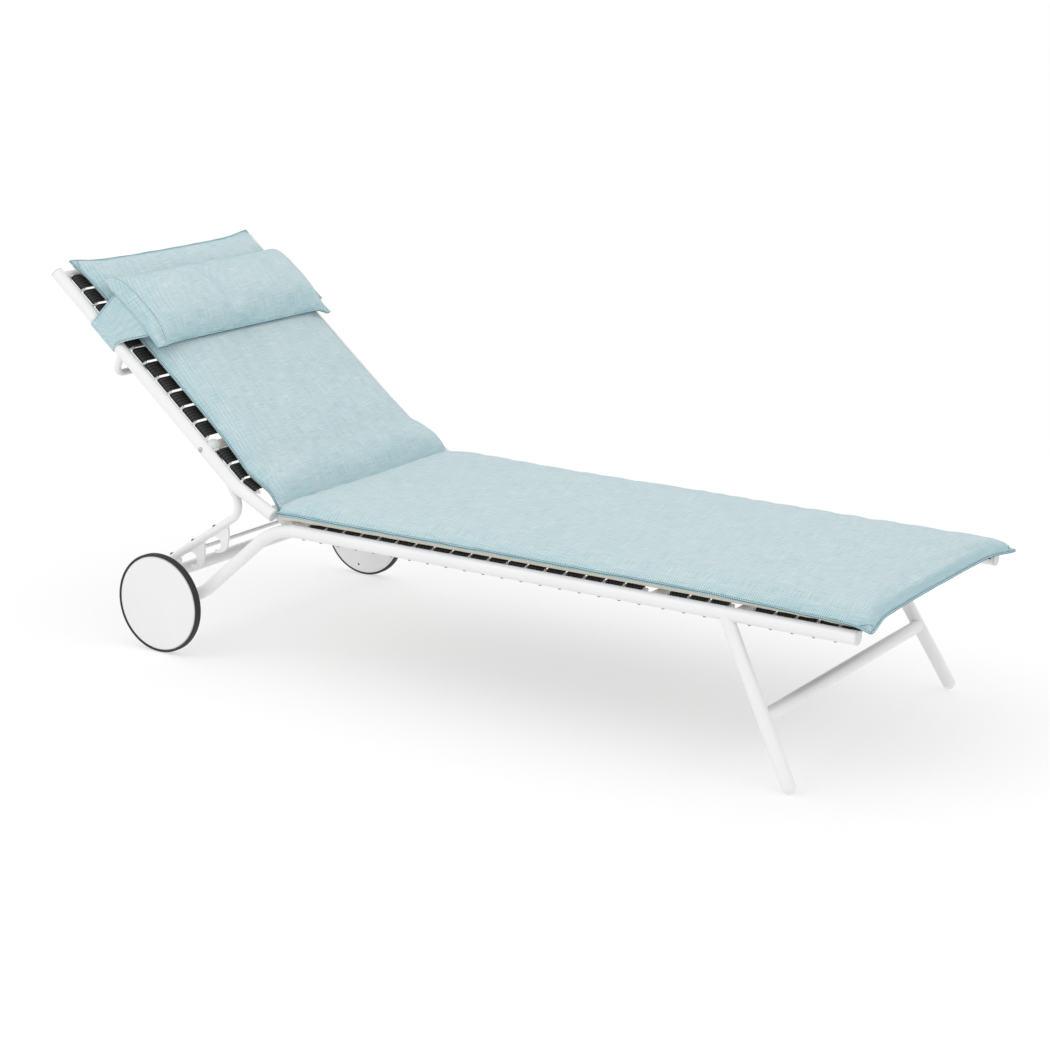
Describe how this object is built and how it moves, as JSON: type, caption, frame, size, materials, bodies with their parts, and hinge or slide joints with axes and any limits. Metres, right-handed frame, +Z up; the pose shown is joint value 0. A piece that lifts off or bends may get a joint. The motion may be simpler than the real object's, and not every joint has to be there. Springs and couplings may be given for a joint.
{
  "type": "reclining sun lounger",
  "caption": "Wheeled sun lounger with a white tube frame, elastic belts, a notched prop for the backrest, aqua cushions and a strapped head pillow",
  "frame": {"origin": "on the floor, under the middle of the lounger's bounding box with its backrest up", "axes": "+X to the foot end, +Y to the right side seen from the foot end towards the head, +Z up"},
  "size_m": [1.7971, 0.7078, 0.7603],
  "materials": {
    "white_metal": "glossy white powder coat",
    "webbing": "black elastic webbing",
    "cushion_fabric": "woven aqua melange with cream piping",
    "steel": "zinc plated",
    "grey_plastic": "light grey moulded",
    "white_plastic": "white moulded",
    "tyre_rubber": "black"
  },
  "bodies": {
    "frame": {"rail_left": "white_metal", "rail_right": "white_metal", "rail_end_caps": "grey_plastic", "front_leg_left": "white_metal", "front_leg_right": "white_metal", "foot_caps": "grey_plastic", "leg_crossbar": "white_metal", "seat_cross_tube_front": "white_metal", "seat_cross_tube_middle": "white_metal", "seat_cross_tube_rear": "white_metal", "catch_crossbar": "white_metal", "catch_bar_plates": "white_metal", "axle_bosses": "white_metal", "stub_axles": "steel", "axle_clips": "steel", "hinge_tabs": "white_metal", "hinge_pins": "steel", "seat_belts_rear": "webbing", "seat_belts_middle": "webbing", "seat_belts_front": "webbing", "seat_belt_rods": "white_metal", "seat_belt_pegs": "white_metal", "rail_rivets": "white_metal", "seat_cushion": "cushion_fabric"},
    "backrest": {"back_tube_left": "white_metal", "back_tube_right": "white_metal", "back_tube_caps": "grey_plastic", "back_cross_tube_stay": "white_metal", "back_cross_tube_top": "white_metal", "cross_tube_bolts": "steel", "handle_bow": "white_metal", "back_belts": "webbing", "back_belt_rods": "white_metal", "back_belt_pegs": "white_metal", "back_cushion": "cushion_fabric", "head_pillow": "cushion_fabric", "pillow_strap": "cushion_fabric"},
    "stay": {"stay_arm_left": "white_metal", "stay_arm_right": "white_metal", "stay_pivot_sleeves": "white_metal", "notched_plates": "white_metal", "plate_screws": "steel", "stay_end_plugs": "grey_plastic", "stay_tie_rod": "white_metal"},
    "wheel_left": {"wheel_disc_left": "white_plastic", "tyre_left": "tyre_rubber", "wheel_bush_left": "white_plastic", "wheel_back_cover_left": "white_plastic"},
    "wheel_right": {"wheel_disc_right": "white_plastic", "tyre_right": "tyre_rubber", "wheel_bush_right": "white_plastic", "wheel_back_cover_right": "white_plastic"}
  },
  "joints": [
    {"name": "backrest_hinge", "type": "hinge", "parent": "frame", "child": "backrest", "pos_m": [-0.3621, 0, 0.3128], "axis": [0, 1, 0], "range_deg": [-39.8, 0]},
    {"name": "stay_hinge", "type": "hinge", "parent": "backrest", "child": "stay", "pos_m": [-0.51962, 0, 0.41573], "axis": [0, 1, 0], "range_deg": [0, 73.7]},
    {"name": "wheel_left_spin", "type": "hinge", "parent": "frame", "child": "wheel_left", "pos_m": [-0.6045, -0.344, 0.1], "axis": [0, 1, 0], "continuous": true},
    {"name": "wheel_right_spin", "type": "hinge", "parent": "frame", "child": "wheel_right", "pos_m": [-0.6045, 0.344, 0.1], "axis": [0, 1, 0], "continuous": true}
  ],
  "couplings": [
    {"joint": "stay_hinge", "follows": "backrest_hinge", "ratio": -1.85}
  ]
}
